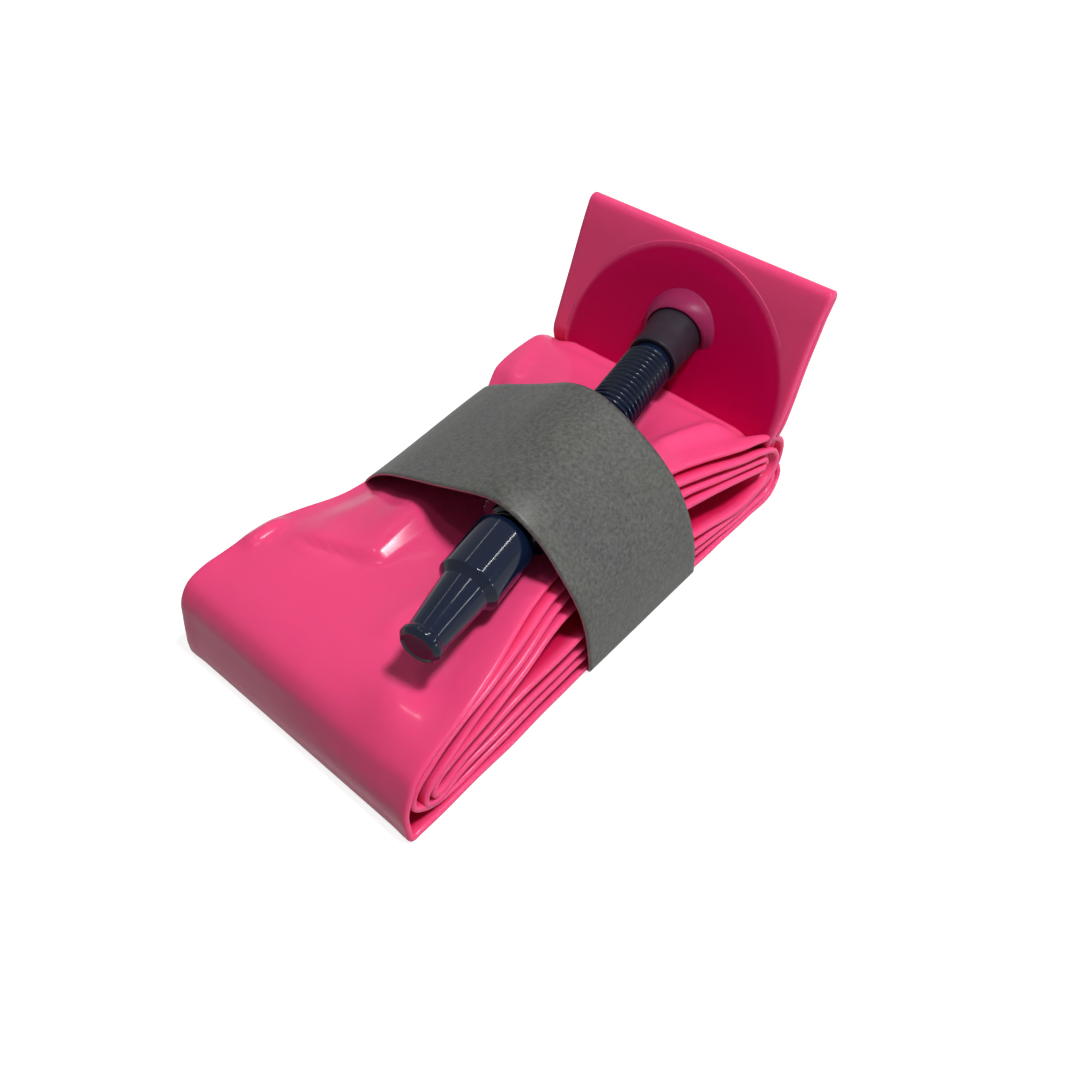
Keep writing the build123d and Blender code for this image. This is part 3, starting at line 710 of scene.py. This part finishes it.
def bossGrid():
    # rings that pass from circles on the flap (share 0) to circles square to the valve
    # (share 1); the skin is a smooth line through the rows
    rows = bossShape["rows"]
    angle = np.linspace(0, 2 * np.pi, bossShape["around"], endpoint=False)[:, None]
    flapRing = np.cos(angle) * upFlap + np.sin(angle) * flapSide
    valveRing = np.cos(angle) * valveUp + np.sin(angle) * valveSide
    sunk = bossShape["sunk"] * (1 - np.cos(angle)) * offFlap
    points = []
    for share, flapRadius, flapHeight, valveRadius, valvePlace in rows:
        onFlap = patchFoot + flapRadius * flapRing + flapHeight * offFlap - sunk
        onValve = valveFoot + valveRadius * valveRing + valvePlace * valveAxis
        points.append(onFlap * (1 - share) + onValve * share)
    points = np.array(points)
    slope = np.gradient(points, axis=0)
    at = np.linspace(0, len(rows) - 1, bossShape["across"])
    k = np.minimum(at.astype(int), len(rows) - 2)
    t = (at - k)[:, None, None]
    skin = hermite(t, points[k], slope[k], points[k + 1], slope[k + 1])
    back = [patchFoot + r * flapRing + height * offFlap for r, height in bossShape["back"]]
    return np.concatenate([skin, np.array(back)])


boss = meshPiece("valveBoss", modelPoints(bossGrid()), aroundU=True, aroundV=True)
finishPiece(boss, "tube_and_valve", bossShadeAndSheen, "patch_crimson", "valve_boss", "valve_flange")


def turnedPiece(name, profile, count, closed=False, radiusOf=None):
    # profile rows (radius, place along the valve) carried round the valve's axis; a closed
    # one joins its last row to its first, an open one meets at poles or at one shared row
    angle = np.linspace(0, 2 * np.pi, count, endpoint=False)
    radius = np.repeat(profile[:, :1], count, 1)
    if radiusOf:
        radius = radiusOf(radius, profile[:, 1:], angle[None])
    ring = np.cos(angle)[None, :, None] * valveUp + np.sin(angle)[None, :, None] * valveSide
    grid = valveFoot + radius[..., None] * ring + profile[:, None, 1:] * valveAxis
    return meshPiece(name, modelPoints(grid), aroundU=closed, aroundV=True, merge=not closed)


collarShape = {                           # corners are (radius, place along the valve)
    "corners": [
        (2.6, -1.2), (3.5, -1.2), (3.45, 1.2), (3.2, 3.6), (3.2, 6.7), (2.6, 6.7), (2.6, -1.2),
    ],
    "rounding": [0.1, 2.0, 2.0, 0.25, 0.05], "around": 72,
}
collarProfile = roundedRoute(collarShape["corners"], collarShape["rounding"], support=0.15)
collar = turnedPiece("valveCollar", collarProfile, collarShape["around"])
finishPiece(collar, "tube_and_valve", collarPlastic, "collar_plastic", "valve_collar")

stemShape = {
    "radius": 3.0, "depth": 0.42, "pitch": 0.8, "threadStart": 7.2, "threadEnd": 39.5,
    "runOut": 0.9,                        # length over which the thread fades at its ends
    "bore": 1.6, "coreBore": 2.45, "coreBoreEnd": 24.0, "shank": 2.55, "shankEnds": (1.0, 6.6),
    "top": 40.0, "stepsPerTurn": 14, "around": 72,
}
rootRadius = stemShape["radius"] - stemShape["depth"]


def threadRadius(radius, height, angle):
    # helix: the crest's phase is height / pitch minus the angle's share of a turn, with a
    # rounded crest and a rounder root, fading out at both ends; the bores stay plain
    phase = height / stemShape["pitch"] - angle / (2 * np.pi)
    wave = (0.5 + 0.5 * np.cos(2 * np.pi * phase)) ** 0.8
    start, end, runOut = stemShape["threadStart"], stemShape["threadEnd"], stemShape["runOut"]
    fade = window(height, start, start + runOut, end - runOut, end)
    outside = radius > stemShape["coreBore"] + 0.05
    return radius + np.where(outside, stemShape["depth"] * wave * fade, 0)


def stemProfile():  # up the shank and the thread, over the top and down the bores
    bore, coreBore, shank = stemShape["bore"], stemShape["coreBore"], stemShape["shank"]
    top, shankEnds = stemShape["top"], stemShape["shankEnds"]
    heights = np.arange(
        stemShape["threadStart"], stemShape["threadEnd"],
        stemShape["pitch"] / stemShape["stepsPerTurn"],
    )
    return np.concatenate([
        [(bore, shankEnds[0]), (shank, shankEnds[0]), (shank, shankEnds[1]),
         (rootRadius, shankEnds[1] + 0.3)],
        np.stack([np.full(len(heights), rootRadius), heights], 1),
        [(rootRadius, top - 0.1), (coreBore + 0.07, top), (coreBore + 0.02, top),
         (coreBore, top - 0.05), (coreBore, stemShape["coreBoreEnd"]),
         (bore, stemShape["coreBoreEnd"])],
    ])


stem = turnedPiece(
    "valveStem", stemProfile(), stemShape["around"], closed=True, radiusOf=threadRadius
)
finishPiece(stem, "tube_and_valve", navyThread, "valve_navy", "valve_stem")

nutShape = {
    "radius": 4.3, "front": 38.1, "thickness": 3.0, "bore": 3.05,
    "notches": 24, "notchDepth": 0.12, "notchLand": 0.2, "around": 240,
}


def nutRadius(radius, height, angle):
    # grip notches: the rim's radius less a cosine of the angle, cut off below at the lands
    wave = np.clip(np.cos(angle * nutShape["notches"]), -nutShape["notchLand"], 1)
    rim = smoothStep(nutShape["radius"] - 0.5, nutShape["radius"] - 0.1, radius)
    return radius - nutShape["notchDepth"] * (wave + nutShape["notchLand"]) * rim


nutBack = nutShape["front"] - nutShape["thickness"]
nutProfile = roundedRoute(
    [(nutShape["bore"], nutBack), (nutShape["radius"], nutBack),
     (nutShape["radius"], nutShape["front"]), (nutShape["bore"], nutShape["front"])],
    [0.1, 0.4, 0.4, 0.1], support=0.1, closed=True,
)
rimNut = turnedPiece(
    "rimNut", nutProfile, nutShape["around"], closed=True, radiusOf=nutRadius
)
finishPiece(rimNut, "rim_nut", navyAnodised, "valve_navy", "rim_nut")

capShape = {
    "start": 40.3, "length": 16.1, "around": 128,
    # radius, distance back from the closed end, rounding: dish, bead, neck, cone, shoulder
    # and body
    "outside": [
        (0, 0.12, 0), (1.6, 0.12, 0.4), (1.95, 0, 0.15), (2.38, 0.5, 0.25), (2.38, 0.95, 0.2),
        (2.12, 1.35, 0.25), (2.74, 8.1, 0.12), (3.5, 8.95, 0.2), (3.5, 16.1, 0.2),
    ],
    # radius, distance in from the open end, rounding: thread, chamber and nose
    "bore": [
        (2.65, 0, 0.1), (2.65, 6.7, 0.1), (2.15, 6.7, 0.1), (2.15, 11.5, 0.3),
        (1.4, 13.2, 0.2), (1.4, 13.9, 0.2), (0, 13.9, 0),
    ],
}


def capProfile():
    start, end = capShape["start"], capShape["start"] + capShape["length"]
    corners = [(radius, end - back) for radius, back, _ in capShape["outside"]]
    corners += [(radius, start + deep) for radius, deep, _ in capShape["bore"]]
    rounding = [row[2] for row in capShape["outside"] + capShape["bore"]]
    return roundedRoute(corners, rounding[1:-1], support=0.06)


cap = turnedPiece("dustCap", capProfile(), capShape["around"])
finishPiece(cap, "dust_cap", navyAnodised, "valve_navy", "dust_cap")
print("valve turned")

bandShape = {
    "thickness": 0.28, "cutEdge": 0.06,   # the cut edges' rounding
    "frontFoot": 27.8, "farFoot": 47.2,   # x of the two edges at the floor
    "frontLean": 2.6, "farLean": 1.2, "leanHeight": 22,   # towards the front, over height
    "footHeight": 0.16, "footRadius": 0.6,
    "nutLift": 0.9,                       # how far the nut lifts the ridge
    "middle": (37, 0, 9),                 # a point inside the loop
    # (y, z) of the outer face, from the right foot over the ridge to the left foot
    "frontEdge": [
        (-18.4, 0.9), (-18.58, 5.2), (-18.5, 9.0), (-18.0, 11.9), (-17.0, 14.5), (-15.8, 16.6),
        (-14.1, 19.0), (-12.3, 20.5), (-9.8, 21.6), (-7.6, 21.85), (-5.2, 21.3), (-2.4, 20.3),
        (2.7, 18.15), (7.3, 16.1), (11.2, 14.1), (14.0, 12.0), (16.4, 9.2), (17.9, 5.4),
        (18.3, 0.9),
    ],
    "farEdge": [
        (-18.2, 0.9), (-18.2, 4.5), (-17.7, 7.7), (-16.9, 10.6), (-15.9, 12.9), (-14.6, 14.9),
        (-12.7, 16.9), (-9.9, 18.9), (-7.0, 20.5), (-4.2, 21.4), (-1.9, 21.35), (0.3, 20.7),
        (3.5, 18.9), (6.9, 17.0), (12.3, 14.1), (15.0, 12.3), (17.2, 9.4), (18.2, 5.4),
        (18.4, 0.9),
    ],
    "across": 40, "around": 260,
}


def bandOutline(points):  # closed outline: over the top, round both feet and along the floor
    over = curveThrough(points, 400)
    foot, radius = bandShape["footHeight"], bandShape["footRadius"]
    under = roundedRoute(
        [over[-1], (over[-1][0], foot), (over[0][0], foot), over[0]], [radius, radius], step=0.2
    )
    return evenRoute(np.concatenate([over, under[1:-1]]), 0.1, closed=True)


def bandGrid():
    # the outline changes from the front edge's to the far edge's along the band, half
    # evenly and half eased; the edges lean forward with height; the nut lifts the ridge
    shape = bandShape
    rings = []
    for outline in (bandOutline(shape["frontEdge"]), bandOutline(shape["farEdge"])):
        far = np.linspace(0, len(outline), shape["around"], endpoint=False)
        whole = np.concatenate([outline, outline[:1]])
        at = np.arange(len(whole))
        rings.append(np.stack([np.interp(far, at, whole[:, k]) for k in (0, 1)], 1))
    front, farEdge = rings
    u = np.linspace(0, 1, shape["across"])[:, None]
    ease = smoothStep(0, 1, u) * 0.5 + u * 0.5
    y = front[:, 0] * (1 - ease) + farEdge[:, 0] * ease
    z = front[:, 1] * (1 - ease) + farEdge[:, 1] * ease
    startX = shape["frontFoot"] - shape["frontLean"] * front[:, 1] / shape["leanHeight"]
    endX = shape["farFoot"] - shape["farLean"] * farEdge[:, 1] / shape["leanHeight"]
    x = startX * (1 - u) + endX * u
    ridge = bell(x, 28.3, 4.8) * bell(y, -8.8, 6.4) * smoothStep(15, 19, z)
    z = z + shape["nutLift"] * ridge
    outer = np.stack([x, y, z], -1)
    alongBand = np.gradient(outer, axis=0)
    roundBand = np.roll(outer, -1, 1) - np.roll(outer, 1, 1)
    inward = unit(np.cross(alongBand, roundBand))
    inward *= np.sign(np.sum(inward * (np.array(shape["middle"]) - outer), -1).mean())
    # section across the card: outer face, far cut edge, inner face, front cut edge
    deep, near = shape["thickness"] - shape["cutEdge"], shape["cutEdge"]
    farCut = outer[-1] + inward[-1] * np.array([near, deep])[:, None, None]
    frontCut = outer[0] + inward[0] * np.array([deep, near])[:, None, None]
    inner = outer + inward * shape["thickness"]
    return np.concatenate([outer, farCut, inner[::-1], frontCut])


def bandPiece():  # the attribute "cut" is 1 on the two cut edges
    grid = bandGrid()
    count = bandShape["across"]
    rows = np.arange(len(grid))
    cut = ((rows >= count) & (rows < count + 2)) | (rows >= 2 * count + 2)
    return meshPiece(
        "paperBand", modelPoints(grid), aroundU=True, aroundV=True,
        attribute=("cut", np.repeat(cut, grid.shape[1])),
    )


band = bandPiece()
finishPiece(
    band, "band", bandCard, "band_paper", "paper_band", "paper_band_tab", "band_glue_strip"
)
print("band wrapped")

keptFinish = {
    "core_body": machinedBrass, "core_pin": machinedBrass, "core_lock_nut": machinedBrass,
    "core_gasket": sealRubber, "core_seal": sealRubber,
}
for nodeName, finish in keptFinish.items():
    cadNodes[nodeName].data.materials.clear()
    cadNodes[nodeName].data.materials.append(finish)
print("kept pieces finished")


studioShape = {
    "floorReach": 3.0, "floorDrop": 0.00002, "floorColour": (0.34, 0.34, 0.34),
    "floorLift": 0.86, "farLift": 1.0, "liftStart": 0.08, "liftEnd": 0.5,
    "worldLight": 0.15, "worldLift": 0.85,
}
mirrorShare = 0.5                         # at full white the clear pink film looks washed out


def maths(tree, operation, first, second):
    return addNode(
        tree, "ShaderNodeMath", {0: first, 1: second}, operation=operation
    ).outputs[0]


def raySeen(tree, lift):
    # extra brightness by kind of ray, which lights no surface: all of the lift for the
    # camera, mirrorShare of it for mirrors and clear things
    path = addNode(tree, "ShaderNodeLightPath").outputs
    mirrored = maths(tree, "MAXIMUM", path["Is Glossy Ray"], path["Is Transmission Ray"])
    mirrored = maths(tree, "MULTIPLY", mirrored, mirrorShare)
    seen = maths(tree, "MAXIMUM", path["Is Camera Ray"], mirrored)
    return maths(tree, "MULTIPLY", seen, lift)


def floorMaterial():
    # diffuse white with the extra brightness on top, which grows from floorLift to farLift
    # away from the roll
    size = studioShape
    material = bpy.data.materials.new("floorWhite")
    material.use_nodes = True
    tree = material.node_tree
    tree.nodes.clear()
    away = addNode(
        tree, "ShaderNodeVectorMath", {0: objectPlace(tree)}, operation="LENGTH"
    ).outputs["Value"]
    lift = spread(
        tree, away, size["liftStart"], size["liftEnd"], size["floorLift"], size["farLift"]
    )
    diffuse = addNode(tree, "ShaderNodeBsdfDiffuse", {"Color": (*size["floorColour"], 1)})
    glow = addNode(
        tree, "ShaderNodeEmission", {"Color": (1, 1, 1, 1), "Strength": raySeen(tree, lift)}
    )
    both = addNode(tree, "ShaderNodeAddShader", {0: diffuse.outputs[0], 1: glow.outputs[0]})
    addNode(tree, "ShaderNodeOutputMaterial", {"Surface": both.outputs[0]})
    return material


floorMesh = bpy.data.meshes.new("studioFloor")
reach = studioShape["floorReach"]
floorMesh.from_pydata(
    [(-reach, -reach, 0), (reach, -reach, 0), (reach, reach, 0), (-reach, reach, 0)],
    [], [(0, 1, 2, 3)],
)
floorMesh.materials.append(floorMaterial())
floor = bpy.data.objects.new("studioFloor", floorMesh)
bpy.context.scene.collection.objects.link(floor)
floor.location.z = -studioShape["floorDrop"]

world = bpy.data.worlds.new("studio")
bpy.context.scene.world = world
world.use_nodes = True
background = world.node_tree.nodes["Background"]
background.inputs["Color"].default_value = (1, 1, 1, 1)
worldLevel = maths(
    world.node_tree, "ADD", raySeen(world.node_tree, studioShape["worldLift"]),
    studioShape["worldLight"],
)
world.node_tree.links.new(worldLevel, background.inputs["Strength"])

# place in metres, size in metres, power in watts, and what the first size lies along
lamps = {
    "overheadKey": ((0.10, -0.25, 0.72), (0.10, 0.10), 4.95, (1, 0, 0)),
    "overheadSmall": ((-0.08, 0.05, 0.66), (0.03, 0.03), 0.2, (1, 0, 0)),
    "sideFill": ((0.10, -0.62, 0.06), (0.30, 0.06), 1.0, (1, 0, 0)),
    "stripRidge": ((0.31, -0.205, 0.44), (0.34, 0.006), 0.36, (0.22, -0.15, -0.22)),
    "stripSide": ((0.31, -0.47, 0.22), (0.16, 0.006), 0.16, (0.17, 0.13, -0.06)),
    "stripFar": ((0.19, 0.29, 0.48), (0.24, 0.006), 0.07, (0.17, 0.05, -0.11)),
}


def placed(name, data, place, right, back):  # object at place whose axes are right, up, back
    thing = bpy.data.objects.new(name, data)
    turned = Matrix((right, back.cross(right), back)).transposed().to_4x4()
    thing.matrix_world = Matrix.Translation(place) @ turned
    bpy.context.scene.collection.objects.link(thing)
    return thing


def addLamp(name, place, size, power, along):  # rectangular lamp aimed at the roll
    data = bpy.data.lights.new(name, "AREA")
    data.shape = "RECTANGLE"
    data.size, data.size_y = size
    data.energy = power
    back = Vector(place).normalized()
    run = Vector(along)
    placed(name, data, place, (run - back * run.dot(back)).normalized(), back)


for name, values in lamps.items():
    addLamp(name, *values)
print("studio lit")

cameraShape = {
    "place": (-0.06480, -0.06581, 0.09996),
    "right": (0.6691, -0.7426, -0.0296), "forward": (0.4967, 0.4765, -0.7254),
    "sensorWidth": 36, "viewDistance": 1100 / 1080,   # in picture widths
    "clipStart": 0.01,
}


def addCamera():  # right is made square to forward
    data = bpy.data.cameras.new("camera")
    data.sensor_width = cameraShape["sensorWidth"]
    data.lens = cameraShape["sensorWidth"] * cameraShape["viewDistance"]
    data.clip_start = cameraShape["clipStart"]
    forward = Vector(cameraShape["forward"]).normalized()
    right = Vector(cameraShape["right"])
    right = (right - forward * right.dot(forward)).normalized()
    return placed("camera", data, cameraShape["place"], right, -forward)


bpy.context.scene.camera = addCamera()
bpy.context.scene.view_settings.view_transform = "Standard"
print("camera set")
